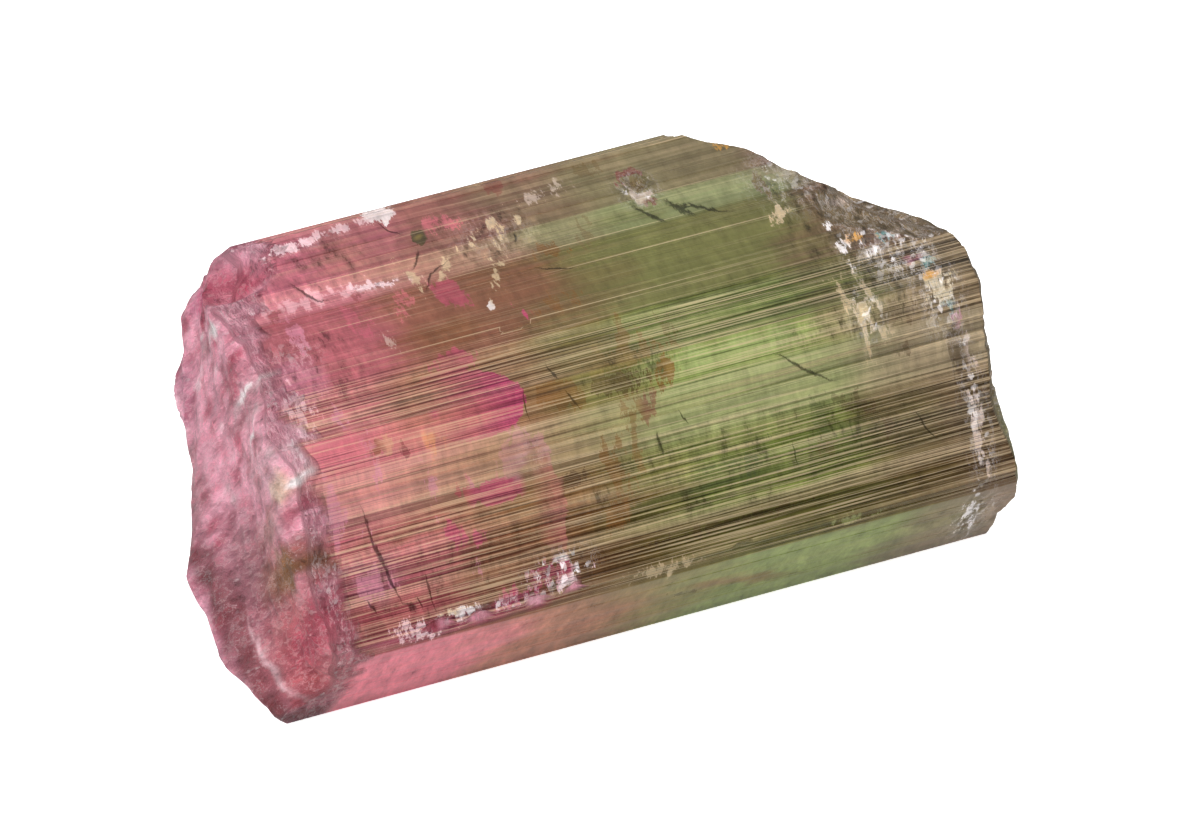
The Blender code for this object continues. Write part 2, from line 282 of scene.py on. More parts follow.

# Stains with crisp borders, by colour: the middle (x, place round the outline), the half lengths, the turn,
# how ragged the border is, the strength and, where it isn't 0, how much the stain fades towards the pink end.
# Most are the crystal's own colour; the amber and teal ones and some white ones are painted glints.
STAINS_AND_GLINTS = {
    "magenta": (
        (-8.3, 19.8, 3.1, 2.0, -14, 0.25, 0.85, 1.0),
        (-9.9, 19.7, 0.5, 0.8, 0, 0.1, 0.5),
        (-7.8, 22.3, 0.9, 0.7, 0, 0.7, 0.5, 0.3),
        (-7.8, 15.0, 1.4, 0.65, -4, 0.3, 0.6),
        (-10.3, 13.4, 0.35, 0.7, 10, 0.5, 0.6),
        (-9.1, 12.9, 0.3, 0.35, 0, 0.8, 0.6),
        (-6.4, 27.0, 0.75, 1.2, 10, 0.7, 0.4),
        (-3.6, 24.4, 0.16, 0.5, 12, 0.5, 0.7),
        (-7.7, 22.3, 0.9, 0.35, 0, 1.0, 0.5),
        (-6.0, 10.2, 1.1, 0.6, 0, 0.9, 0.5, 0.3),
        (-7.8, 9.4, 1.3, 0.35, 0, 1.0, 0.6),
    ),
    "orchid": (
        (-6.0, 16.3, 1.2, 1.2, 0, 1.2, 0.5, 0.3),
        (-8.9, 15.2, 0.12, 0.3, 0, 0.6, 0.8),
        (-11.1, 16.4, 0.2, 0.8, 0, 0.8, 0.6),
        (-16.2, 16.2, 0.5, 1.3, 0, 1.2, 0.6),
        (-14.7, 21.4, 0.14, 0.8, 0, 0.8, 0.7),
        (-13.7, 18.9, 0.16, 0.9, 0, 0.8, 0.7),
        (-14.7, 14.9, 0.15, 0.5, 0, 0.8, 0.8),
        (-14.9, 12.0, 0.7, 0.7, 0, 1.6, 0.6),
        (-9.6, 11.6, 0.35, 0.4, 0, 1.0, 0.6),
        (-14.6, 27.0, 0.3, 1.2, 0, 1.2, 0.6),
        (17.6, 17.6, 0.2, 0.4, 0, 0.8, 0.7),
    ),
    "deep_rose": (
        (-9.6, 15.4, 0.4, 0.5, 0, 0.8, 0.6),
    ),
    "coral": (
        (-5.5, 14.2, 1.0, 2.9, 4, 0.3, 0.6, 1.0),
    ),
    "pale_pink": (
        (-16.3, 21.9, 0.4, 1.3, 0, 1.2, 0.5),
        (-12.8, 8.8, 1.1, 0.6, 0, 1.4, 0.7),
        (-12.4, 33.7, 1.1, 0.28, 10, 0.8, 0.8),
        (-9.9, 34.1, 1.5, 0.22, 6, 0.8, 0.6),
        (-9.6, 29.2, 0.9, 0.22, -12, 0.9, 0.8),
        (-13.2, 29.2, 1.6, 0.4, 0, 1.8, 0.35),
        (-4.9, 9.6, 0.6, 0.22, 30, 0.8, 0.8),
    ),
    "mallow": (
        (-15.2, 18.8, 1.1, 0.9, 0, 1.8, 0.35),
        (-11.5, 27.0, 0.4, 1.1, 10, 1.2, 0.5),
    ),
    "peach": (
        (-12.8, 18.6, 0.45, 0.5, 0, 0.8, 0.7),
    ),
    "maroon": (
        (-9.2, 18.5, 0.35, 0.5, 0, 0.8, 0.6),
        (-12.0, 18.2, 0.28, 0.5, 6, 0.4, 0.75),
        (0.8, 17.3, 0.35, 0.9, -16, 0.6, 0.7),
        (5.4, 32.3, 0.75, 0.7, -25, 0.7, 0.8),
        (5.7, 30.1, 0.4, 0.35, 0, 0.6, 0.8),
        (-15.0, 28.8, 0.35, 0.5, -30, 0.7, 0.7),
        (-10.7, 28.6, 0.3, 0.25, 0, 0.7, 0.7),
        (-1.1, 35.2, 0.45, 1.3, -12, 0.5, 0.6),
        (-5.9, 35.6, 0.5, 0.8, 0, 0.6, 0.5),
    ),
    "umber": (
        (-1.4, 14.5, 0.6, 1.2, 12, 1.6, 0.7),
        (-1.8, 12.4, 0.5, 0.9, -10, 1.6, 0.7),
        (-13.3, 18.6, 0.28, 0.45, -12, 0.6, 0.75),
        (0.0, 19.9, 2.3, 0.75, 0, 1.3, 0.65, 0.7),
        (1.9, 18.9, 0.6, 0.8, -12, 1.3, 0.85),
        (0.5, 21.2, 0.6, 0.8, 0, 1.4, 0.6),
        (-0.2, 16.2, 0.25, 1.4, 0, 0.9, 0.6),
        (-3.3, 18.9, 1.2, 0.8, -10, 0.9, 0.6),
        (-1.5, 24.4, 0.9, 0.35, 0, 1.4, 0.6),
        (-0.6, 28.4, 0.7, 0.5, -20, 1.2, 0.7),
    ),
    # Amber marks are painted warm glints of splits.
    "amber": (
        (-10.3, 18.6, 0.35, 0.65, 0, 1.0, 0.35),
        (10.6, 32.8, 0.3, 0.3, 0, 1.0, 0.7),
        (14.3, 23.4, 0.5, 0.25, 0, 0.8, 0.9),
        (17.0, 20.1, 0.35, 0.2, 0, 0.8, 0.9),
    ),
    "dark_brown": (
        (-0.4, 18.8, 1.5, 0.6, 0, 1.3, 0.85, 0.2),
        (3.5, 10.35, 3.4, 0.2, 0, 0.7, 0.6),
        (-3.6, 14.6, 0.7, 0.35, 0, 0.8, 0.7),
        (11.6, 14.5, 0.8, 0.4, -35, 1.0, 0.6),
        (13.0, 13.0, 0.3, 0.6, 0, 0.9, 0.6),
        (14.3, 16.6, 0.45, 0.4, 0, 1.0, 0.6),
        (17.3, 15.6, 0.5, 1.7, 0, 0.5, 0.6),
        (14.9, 25.3, 1.4, 1.0, -10, 0.5, 0.75),
        (16.3, 21.7, 0.9, 0.6, 10, 0.7, 0.7),
        (14.2, 18.5, 1.0, 0.5, 0, 1.2, 0.55),
        (2.0, 4.0, 0.7, 0.3, -30, 0.8, 0.6),
    ),
    "bark": (
        (3.2, 21.2, 0.25, 0.9, 0, 1.0, 0.6),
        (9.4, 12.9, 0.5, 0.5, 0, 1.2, 0.6),
    ),
    "tan": (
        (-0.2, 8.6, 1.2, 0.45, 0, 1.6, 0.6),
        (-3.0, 31.2, 1.0, 0.2, 38, 0.8, 0.75),
        (-1.0, 31.4, 0.2, 0.3, 0, 0.6, 0.8),
        (-3.3, 28.3, 0.2, 1.5, -24, 0.8, 0.7),
        (-7.6, 28.6, 0.18, 1.0, 8, 0.6, 0.7),
        (-5.9, 28.9, 0.2, 1.1, -34, 0.5, 0.7),
        (12.8, 18.8, 0.35, 1.3, 8, 1.6, 0.6),
        (13.6, 19.2, 0.2, 1.0, 14, 1.4, 0.5),
        (11.3, 26.6, 0.25, 0.6, -25, 0.9, 0.8),
    ),
    "straw": (
        (10.2, 8.5, 0.8, 0.35, 0, 1.2, 0.6),
    ),
    "dark_green": (
        (-6.15, 31.9, 0.42, 0.75, -8, 0.3, 0.85),
        (5.6, 13.2, 0.35, 0.7, -20, 1.1, 0.6),
        (9.5, 14.2, 0.5, 0.9, 0, 1.4, 0.5),
    ),
    "olive": (
        (-6.2, 31.9, 0.18, 0.35, -8, 0.08, 0.8),
    ),
    "rose": (
        (-4.9, 32.5, 0.75, 0.6, 0, 1.2, 0.7),
        (-8.8, 27.2, 0.3, 0.9, -8, 0.8, 0.5),
    ),
    "pale_mauve": (
        (5.4, 31.1, 0.55, 0.85, -8, 0.8, 0.7),
        (-10.4, 24.6, 0.2, 0.5, 10, 1.0, 0.5),
        (1.2, 33.0, 0.7, 0.3, 15, 1.4, 0.6),
        (16.8, 23.2, 0.45, 0.7, 20, 1.0, 0.6),
        (17.6, 12.2, 0.25, 2.1, 0, 0.6, 0.9),
        (17.9, 16.4, 0.12, 1.2, 0, 0.5, 0.8),
    ),
    # White: the first is a painted sheen, and the third and fourth are painted glints beside the green end's
    # split.
    "white": (
        (-7.3, 34.8, 0.75, 1.1, -12, 0.5, 0.8),
        (-4.9, 25.3, 0.2, 0.2, 0, 0.6, 0.7),
        (13.25, 23.5, 0.16, 1.2, 2, 0.6, 0.9),
        (14.6, 22.3, 0.35, 0.12, 8, 0.5, 0.9),
        (17.6, 4.6, 0.3, 2.4, 6, 1.2, 0.8),
        (-5.6, 10.95, 0.6, 0.1, -14, 0.1, 0.9),
        (-4.6, 10.4, 0.55, 0.12, -52, 0.1, 0.9),
        (-10.5, 9.45, 0.45, 0.2, 0, 0.8, 0.9),
    ),
    "smoke": (
        (3.3, 33.6, 0.7, 0.5, 0, 1.4, 0.7),
        (1.6, 29.0, 0.3, 0.8, -10, 1.2, 0.6),
        (11.4, 29.2, 0.35, 0.9, -8, 1.2, 0.8),
    ),
    # Teal marks are painted cool glints of a split.
    "teal": (
        (15.7, 23.3, 0.28, 0.6, -15, 0.7, 0.8),
        (17.0, 20.9, 0.25, 0.3, 0, 0.8, 0.8),
        (17.3, 18.2, 0.3, 0.35, 0, 1.0, 0.7),
    ),
    "lilac": (
        (16.3, 21.4, 0.35, 0.5, 30, 0.3, 0.9),
    ),
    "cream": (
        (17.1, 19.2, 0.5, 0.8, 0, 1.6, 0.7),
        (-11.4, 9.5, 0.3, 0.12, 0, 0.8, 0.8),
    ),
}

# Cracks on the faces as bent lines: the middle, the half length, the turn in degrees, how far the middle
# bows to one side and the half width, in millimetres.
CRACKS = (
    (-12.75, 29.8, 1.6, -58, 0.2, 0.2),
    (-7.3, 33.1, 1.0, -62, 0.05, 0.1),
    (-7.0, 30.3, 1.0, 56, 0.1, 0.16),
    (-6.3, 28.5, 1.7, 47, -0.45, 0.1),
    (-14.0, 13.2, 3.7, -77, 0.3, 0.13),
    (-13.1, 10.4, 0.45, -80, 0.0, 0.28),
    (-12.1, 10.9, 1.4, -85, 0.05, 0.09),
    (-15.2, 10.9, 0.6, -70, 0.0, 0.1),
    (9.2, 17.1, 2.2, -39, 0.12, 0.13),
    (6.8, 29.0, 1.4, -60, 0.1, 0.34),
    (5.2, 29.2, 1.5, -62, 0.12, 0.22),
    (7.9, 28.7, 2.0, -40, 0.2, 0.2),
    (-3.5, 20.2, 0.8, -80, 0.06, 0.1),
    (-2.9, 18.5, 0.8, -62, 0.05, 0.09),
    (2.5, 16.2, 0.6, -68, 0.05, 0.07),
    (7.8, 12.9, 0.8, -88, 0.04, 0.08),
    (14.9, 12.6, 1.3, -62, 0.12, 0.07),
    (1.0, 15.2, 0.8, -84, 0.1, 0.16),
    (-0.8, 26.9, 1.3, -24, 0.1, 0.1),
    (-1.7, 30.0, 0.5, 72, 0.05, 0.1),
    (-5.2, 18.9, 1.3, 88, -0.18, 0.05),
)

# Bright straight lines on the growth steps, painted highlights along them: the middle, the half length and
# the half width.
THREADS = (
    (-3.0, 23.72, 17.0, 0.045),
    (-4.0, 23.22, 9.0, 0.03),
    (6.0, 26.6, 9.5, 0.05),
    (-11.0, 26.62, 4.0, 0.03),
    (1.0, 28.36, 8.5, 0.04),
    (-9.0, 30.44, 5.5, 0.04),
    (7.5, 30.62, 4.5, 0.03),
    (-4.0, 32.3, 5.0, 0.03),
    (8.6, 34.4, 2.4, 0.045),
    (2.0, 9.32, 14.0, 0.04),
    (-6.5, 17.72, 8.0, 0.035),
    (6.0, 19.62, 8.0, 0.035),
)

# A depth of -FAR in a stain, or a taper of FAR on a line, means that there is no mark.
FAR = 9.0

# The material. A noise is given by its detail and roughness, and its lumps by their length along each
# direction in millimetres: across the slanting grain of the ends, on the faces, and along X and round the
# outline.
GRAINS = (5.0, 0.74)
LINES = (3.0, 0.7)
END_GRAIN = (0.8, 2.6, 0.7)
FACE_GRAIN = (0.5, 1.6, 1.6)
LINE_SIZE = (14.0, 0.1, 1.0)
FLAKES_IN_GRAIN = (2.2, 6.0, 6.0)
BUMP = {"Strength": 0.7, "Distance": 0.00004}
CRYSTAL = {
    "Roughness": 0.3,
    "IOR": 1.63,
    "Coat Roughness": 0.05,
    "Coat IOR": 1.6,
    "Specular Tint": (0.12, 0.12, 0.12, 1.0),
}
ABSORPTION = {"Color": (0.62, 0.52, 0.44, 1.0), "Density": 20.0}
WHITE = (1.0, 1.0, 1.0, 1.0)


def length(name, description, metres):
    """A length property in metres."""
    return FloatProperty(name=name, description=description, default=metres, unit="LENGTH")


def angle(name, description, degrees):
    """An angle property whose default is given in degrees."""
    return FloatProperty(name=name, description=description, default=np.radians(degrees), subtype="ANGLE")


def colour(name, description, red, green, blue):
    """A colour property whose default is given in display values from 0 to 255."""
    return FloatVectorProperty(
        name=name,
        description=description,
        subtype="COLOR_GAMMA",
        size=3,
        min=0.0,
        max=1.0,
        default=(red / 255, green / 255, blue / 255),
    )


class CrystalShape(bpy.types.PropertyGroup):
    """The crystal's driving sizes."""

    pink_rim: length("Pink end", "Mean plane of the pink end's fracture along X", -0.0174)
    green_rim: length("Green end", "Mean plane of the green end's fracture along X", 0.0188)
    step_depth: length("Step depth", "Depth of a growth step on a fully striated face", 0.0002)
    line_depth: length("Line depth", "Depth of the fine lines on the growth steps", 0.00006)
    line_width: length("Line width", "Mean width of the fine lines", 0.00026)
    base_spacing: length("Base spacing", "Distance between columns on the base face", 0.0004)
    end_rows: IntProperty(name="Rows on an end", description="Rows from a pole to its rim", default=42, min=8)
    wall_rows: IntProperty(name="Rows along", description="Rows from rim to rim", default=92, min=4)


class CrystalColours(bpy.types.PropertyGroup):
    """The colours of the crystal's growth zones, inclusions and breaks."""

    rose: colour("Rose", "Pink zone", 208, 108, 124)
    deep_rose: colour("Deep rose", "Shadowed pink, low in the crystal", 178, 62, 88)
    shell_pink: colour("Shell pink", "Light pink of the broken end", 236, 164, 186)
    pale_pink: colour("Pale pink", "Crushed and feathered pink", 250, 218, 226)
    orchid: colour("Orchid", "Bright cool pink of the upper bevel", 196, 129, 154)
    lilac: colour("Lilac", "Cool pink along the top of the back", 186, 116, 143)
    puce: colour("Puce", "Brownish pink of the back", 152, 99, 109)
    mauve: colour("Mauve", "Greyed pink of the top face", 156, 97, 102)
    magenta: colour("Magenta", "Strong pink inner patches", 196, 50, 116)
    mallow: colour("Mallow", "Body of the pink end", 186, 88, 112)
    coral: colour("Coral", "Warm pink of the front faces", 186, 102, 105)
    copper: colour("Copper", "Warm zone beside the pink", 172, 108, 82)
    peach: colour("Peach", "Pale warm band of the front", 196, 148, 117)
    straw: colour("Straw", "Pale yellowish green", 175, 182, 112)
    light_green: colour("Light green", "Bright smooth green band", 175, 195, 127)
    hazel: colour("Hazel", "Brown zone", 140, 98, 56)
    fawn: colour("Fawn", "Light brown of the back", 138, 114, 92)
    # Tan is also laid on the brighter growth steps as a painted highlight.
    tan: colour("Tan", "Light warm striations", 214, 190, 156)
    # Sheen is the colour of the painted highlights on the fine lines and threads.
    sheen: colour("Sheen", "Brightest fine lines", 230, 204, 166)
    cream: colour("Cream", "Feathered warm white", 236, 220, 186)
    umber: colour("Umber", "Brown zone", 116, 71, 32)
    bark: colour("Bark", "Dark brown low on the front", 72, 53, 22)
    dark_brown: colour("Dark brown", "Deepest brown", 56, 34, 22)
    garnet: colour("Garnet", "Deep red of the broken end and low on the front", 186, 84, 86)
    maroon: colour("Maroon", "Red-brown stripes and patches", 122, 50, 56)
    olive: colour("Olive", "Olive zone", 124, 120, 56)
    khaki: colour("Khaki", "Greyed olive zone", 110, 108, 58)
    leaf: colour("Leaf green", "Green zone", 120, 142, 64)
    sage: colour("Sage", "Light green of the upper bevel", 150, 154, 104)
    dark_green: colour("Dark green", "Small green inclusions", 50, 62, 36)
    smoke: colour("Smoke", "Brownish grey zone at the green end", 105, 84, 57)
    stone: colour("Stone", "Grey-brown zone at the green end", 128, 108, 80)
    pale_mauve: colour("Pale mauve", "Crushed places at the green end", 214, 192, 182)
    # White is also the colour of the painted glints and of the pale veins, painted highlights on ridges.
    white: colour("White", "Crushed white", 250, 244, 246)
    # Amber and teal are painted glints of splits.
    amber: colour("Amber", "Warm glint of a split", 222, 160, 70)
    teal: colour("Teal", "Cool glint of a split", 96, 158, 160)


class StudioSettings(bpy.types.PropertyGroup):
    """Camera, floor and lights."""

    azimuth: angle("Azimuth", "Camera's turn about Z", -21.7)
    elevation: angle("Elevation", "Camera's height above the floor", 41.9)
    distance: length("Distance", "Camera to target", 0.507)
    lens: FloatProperty(name="Lens", description="Focal length in millimetres", default=300.0)
    aim_right: length("Aim right", "Target's offset to the camera's right", 0.00152)
    aim_down: length("Aim down", "Target's offset below the crystal's middle", 0.001115)
    floor_size: length("Floor size", "Side of the floor", 4.0)
    floor_gap: length("Floor gap", "Floor's depth below the crystal", 0.00003)
    floor_glow: FloatProperty(name="Floor glow", description="Emission of the floor", default=0.55)
    key_watts: FloatProperty(name="Key light", description="Watts of the lamp in front", default=3.0)
    left_watts: FloatProperty(name="Left light", description="Watts of the lamp at the left", default=2.5)


def waves(points, seed, size, count=9):
    """Smooth lumps about 'size' across: a sum of sine waves that run in seeded directions, near -1 to 1."""
    rng = np.random.default_rng(seed)
    heading = rng.normal(size=(count, points.shape[-1]))
    longest = np.linalg.norm(heading, axis=1)[:, None]
    heading *= (2 * np.pi / size) * rng.uniform(0.6, 1.5, (count, 1)) / longest
    phase = rng.uniform(0, 2 * np.pi, count)
    return np.sin(points @ heading.T + phase).sum(-1) / np.sqrt(count)


def bowls(y, z, seed, spacing, radius, spread):
    """Shell-like fracture: the lowest of many shallow bowls, with a sharp ridge wherever two of them meet.

    The bowls stand about 'spacing' apart over the whole section, each moved off its place, and the section is
    first warped by long waves. Their floors lie at heights from 0 to 'spread', and the highest ridges are
    rounded off at 'most' by a hyperbolic tangent.
    """
    rng = np.random.default_rng(seed)
    (low_y, high_y), (low_z, high_z) = SECTION_Y, SECTION_Z
    places = np.mgrid[low_y:high_y:spacing, low_z:high_z:spacing].reshape(2, -1)
    centre_y, centre_z = places + spacing * rng.uniform(-0.5, 0.5, places.shape)
    floor = rng.uniform(0, spread, len(centre_y))
    curve = radius * rng.uniform(0.6, 2.0, len(centre_y))
    section = np.stack([y, z], -1)
    warped_y = y + 0.4 * spacing * waves(section, seed + 1, 2.5 * spacing, 5)
    warped_z = z + 0.4 * spacing * waves(section, seed + 2, 2.5 * spacing, 5)
    away = (warped_y[..., None] - centre_y) ** 2 + (warped_z[..., None] - centre_z) ** 2
    height = (floor + away / (2 * curve)).min(-1)
    most = 0.6 * spread + 0.08 * spacing**2 / radius
    return most * np.tanh(height / most)


def mounds(y, z, table):
    """Rounded rises and hollows on a broken end: a bell curve of the distance from each centre."""
    total = np.zeros(np.shape(y))
    for centre_y, centre_z, width, height in table:
        total += height * np.exp(-((y - centre_y) ** 2 + (z - centre_z) ** 2) / (2 * width**2))
    return total


def sloped(y, z, plane):
    """Where a tilted plane lies along X."""
    at, normal = plane
    return at[0] - ((y - at[1]) * normal[1] + (z - at[2]) * normal[2]) / normal[0]


def pink_end(y, z, rim):
    """How far along X the pink end's fracture lies, and the height of its finest relief from 0 to 1."""
    smooth = mounds(y, z, PINK_SMOOTH)
    large, middling, fine = (bowls(y, z, *numbers) for numbers in PINK_BOWLS)
    relief = large + (1 - smooth) * 0.5 * middling
    plane = np.maximum(rim - mounds(y, z, PINK_MOUNDS), sloped(y, z, PINK_BEVEL))
    return plane + 0.2 - 0.8 * relief - 0.6 * (1 - 0.8 * smooth) * fine, fine / 0.35


def green_end(y, z, rim):
    """How far along X the green end's fracture lies, and the height of its finest relief from 0 to 1."""
    large, middling, fine = (bowls(y, z, *numbers) for numbers in GREEN_BOWLS)
    plane = np.minimum(rim + 0.02 * (17.0 - z), sloped(y, z, GREEN_BEVEL))
    return plane + mounds(y, z, GREEN_MOUNDS) - 0.28 + 0.6 * (large + middling) + 0.7 * fine, fine / 0.27


def crumbled(cap, y, z, seed, width, depth):
    """How far a broken end's rim has crumbled back: a rounded shoulder, wide here and narrow there."""
    section = np.stack([y, z], -1)
    change = 1 + 0.6 * waves(section, seed, 5.0)
    inside = (1 - cap) * MEAN_RADIUS
    return depth * change * np.clip(1 - inside / (width * np.maximum(change, 0.3)), 0.0, 1.0) ** 2


def outline(turn):
    """A point of the plain prism's outline and its outward normal, for turn from 0 to 1 round the crystal."""
    corners = np.array([corner[:2] for corner in CORNERS + CORNERS[:1]])
    sides = np.diff(corners, axis=0)
    lengths = np.linalg.norm(sides, axis=1)
    reach = np.concatenate([[0.0], np.cumsum(lengths)])
    along = (turn % 1.0) * reach[-1]
    side = strip_of(along, reach)
    part = (along - reach[side]) / lengths[side]
    point = corners[side] + part[..., None] * sides[side]
    normal = np.stack([-sides[side, 1], sides[side, 0]], -1) / lengths[side, None]
    return point, normal, along, reach


def strip_of(along, edges):
    """The number of the strip between two edges that each place round the outline lies on."""
    return np.clip(np.searchsorted(edges, along, side="right") - 1, 0, len(edges) - 2)


def step_edges(reach):
    """Where each growth step starts round the outline, and the random generator that drew them."""
    rng = np.random.default_rng(5)
    edges = np.concatenate([[0.0], np.cumsum(rng.uniform(*STEP_WIDTH, 120))])
    edges = edges[: np.searchsorted(edges, reach[-1])]
    edges[-1] = reach[-1]
    return edges, rng


def line_edges(reach, width):
    """Where each fine line starts round the outline: the growth steps' edges and finer ones between them."""
    coarse, _ = step_edges(reach)
    rng = np.random.default_rng(7)
    count = int(1.3 * reach[-1] / width)
    fine = np.cumsum(rng.uniform(0.4 * width, 1.6 * width, count))
    fine = fine[(fine < reach[-1] - width) & (np.abs(fine[:, None] - coarse).min(1) > 0.35 * width)]
    return np.sort(np.concatenate([coarse, fine]))


def levels(along, x, edges, rng, sharpness):
    """The level of the strip that each point lies on, near 0 to 1: it changes once, somewhere along X."""
    count = len(edges) - 1
    depth = rng.uniform(0.0, 1.0, (count, 2))
    tilt = rng.uniform(-0.5, 0.5, count)
    change = rng.uniform(*CHANGES, count)
    step = strip_of(along, edges)
    part = (along - edges[step]) / (edges[step + 1] - edges[step])
    shift = 1 / (1 + np.exp(-np.clip((x - change[step]) * sharpness, -30, 30)))
    level = depth[step, 0] * (1 - shift) + depth[step, 1] * shift
    return level + tilt[step] * (part - 0.5)


def face_share(along, reach):
    """How striated the face under each point is, and a fade to nothing at the face's edges."""
    share = np.array([corner[2] for corner in CORNERS])
    face = strip_of(along, reach)
    near_corner = np.minimum(along - reach[face], reach[face + 1] - along)
    return share[face], np.clip(near_corner / 0.12, 0, 1)


def striation(along, x, reach, shape):
    """How deep the surface lies under the plain prism: broad growth steps with fine lines on them."""
    edges, rng = step_edges(reach)
    broad = levels(along, x, edges, rng, 2.5)
    fine = levels(along, x, line_edges(reach, shape.line_width / MM), np.random.default_rng(8), 1.2)
    share, fade = face_share(along, reach)
    steps = shape.step_depth * broad * share
    lines = shape.line_depth * fine * np.minimum(1, 0.25 + share)
    return (steps + lines) / MM * fade


def core_of(points):
    """The nearest point to each of the core line that runs through the crystal along X."""
    x = np.clip(points[..., 0], -CORE_HALF, CORE_HALF)
    return np.stack([x, np.full_like(x, AXIS_Y), np.full_like(x, AXIS_Z)], -1)


def chipped(points):
    """Points in a chip's ball carried towards the core line to the ball's surface, and how far each went."""
    depth = np.zeros(points.shape[:-1])
    for number, (x, y, z, radius) in enumerate(CHIPS):
        inward = core_of(points) - points
        inward /= np.linalg.norm(inward, axis=-1)[..., None]
        offset = points - np.array([x, y, z])
        ripple = radius * (1 + 0.06 * waves(points, 40 + number, radius * 0.9))
        along = (offset * inward).sum(-1)
        beyond = (offset**2).sum(-1) - ripple**2
        root = np.sqrt(np.maximum(along**2 - beyond, 0.0))
        move = np.where(beyond < 0, root - along, 0.0)
        points = points + move[..., None] * inward
        depth += move
    return points, depth


def columns(shape):
    """The places round the outline, in millimetres, that the mesh's columns stand at.

    There is one just before and one just after the start of each fine line, so that each line is a crisp
    step, and on the base face they are evenly spaced.
    """
    _, _, _, reach = outline(np.zeros(1))
    edges = line_edges(reach, shape.line_width / MM)
    edges = edges[edges < reach[-2] - 0.05]
    pairs = np.stack([edges - EDGE_GAP, edges + EDGE_GAP], -1).ravel()[1:]
    base = np.arange(reach[-2] + 0.2, reach[-1] - 0.1, shape.base_spacing / MM)
    places = np.sort(np.concatenate([[0.0], pairs, reach[1:-1], base]))
    keep = np.concatenate([[True], np.diff(places) > 0.6 * EDGE_GAP])
    return places[keep]


def crystal_surface(shape):
    """The crystal's surface as rows from the pink pole to the green one and columns round it.

    'cap' runs from 0 at a pole to 1 at its rim and stays 1 along the prism, and 'share' runs from 0 at the
    pink rim to 1 at the green rim. Across X the point is the axis plus cap times the way out to the striated
    face, and along X it is the pink fracture's place and the green one's, mixed by share. The chips are cut
    last.
    """
    rows_out = np.linspace(0, 1, shape.end_rows + 1)[1:] ** 0.85
    rows_along = np.linspace(0, 1, shape.wall_rows + 1)[1:-1]
    cap = np.concatenate([rows_out, np.ones_like(rows_along), rows_out[::-1]])[:, None]
    share = np.concatenate([np.zeros_like(rows_out), rows_along, np.ones_like(rows_out)])[:, None]
    places = columns(shape)
    _, _, _, reach = outline(np.zeros(1))
    plain, normal, along, _ = outline(places / reach[-1])
    pink_x, green_x = shape.pink_rim / MM, shape.green_rim / MM
    x = pink_x + share * (green_x - pink_x) + 0 * along
    along = along + 0 * x
    wall = plain - striation(along, x, reach, shape)[..., None] * normal
    axis = np.array([AXIS_Y, AXIS_Z])
    across = axis + cap[..., None] * (wall - axis)
    y, z = across[..., 0], across[..., 1]
    pink, pink_ridge = pink_end(y, z, pink_x)
    green, green_ridge = green_end(y, z, green_x)
    pink_crumble = crumbled(cap, y, z, *PINK_CRUMBLE)
    green_crumble = crumbled(cap, y, z, *GREEN_CRUMBLE)
    x = (1 - share) * (pink + pink_crumble) + share * (green - green_crumble)
    points, depth = chipped(np.stack([x, y, z], -1))
    points[..., 2] = np.maximum(points[..., 2], 0.0)
    on_end = cap < 0.999
    chip = np.clip(depth / 0.15, 0, 1)
    fields = {
        "broken": np.maximum(on_end * 1.0, chip),
        "ridge": np.where(on_end, np.where(share < 0.5, pink_ridge, green_ridge), 0.5 * chip),
        "striated": face_share(along, reach)[0] * ~on_end,
        "on_end": on_end + 0.0 * x,
    }
    return points, along, fields, reach[-1]


def grid_faces(rows, around):
    """Quads between neighbouring rows and columns, and a fan of triangles at each pole."""
    row = np.arange(rows - 1)[:, None] * around
    column = np.arange(around)
    after = (column + 1) % around
    quads = np.stack([row + column, row + around + column, row + around + after, row + after], -1)
    last = (rows - 1) * around
    pink_fan = np.stack([np.full(around, rows * around), column, after], -1)
    green_fan = np.stack([np.full(around, rows * around + 1), last + after, last + column], -1)
    return quads.reshape(-1, 4), pink_fan, green_fan


def lay_skin(mesh, faces, x, near, perimeter):
    """The UV map 'skin': X and the distance round the outline, both in millimetres.

    It goes on past the seam, so that no face runs backwards.
    """
    far = np.concatenate([near[1:], [perimeter]])
    middle = (near + far) / 2
    quads, pink_fan, green_fan = faces
    quad_s = np.broadcast_to(np.stack([near, near, far, far], -1), (len(quads) // len(near), len(near), 4))
    pink_s = np.stack([middle, near, far], -1)
    green_s = np.stack([middle, far, near], -1)
    loop_s = np.concatenate([quad_s.ravel(), pink_s.ravel(), green_s.ravel()])
    corner = np.concatenate([quads.ravel(), pink_fan.ravel(), green_fan.ravel()])
    skin = mesh.uv_layers.new(name="skin")
    skin.data.foreach_set("uv", np.stack([x[corner], loop_s], -1).astype(np.float32).ravel())


def lay_paints(mesh, paints):
    """Each paint as a colour or vector attribute of the points. A pole has the mean of the ring beside it."""
    kinds = {3: ("FLOAT_VECTOR", "vector"), 4: ("FLOAT_COLOR", "color")}
    for name, values in paints.items():
        parts = values.shape[-1]
        kind, slot = kinds[parts]
        values = np.concatenate([values.reshape(-1, parts), [values[0].mean(0), values[-1].mean(0)]])
        attribute = mesh.attributes.new(name, kind, "POINT")
        attribute.data.foreach_set(slot, values.astype(np.float32).ravel())


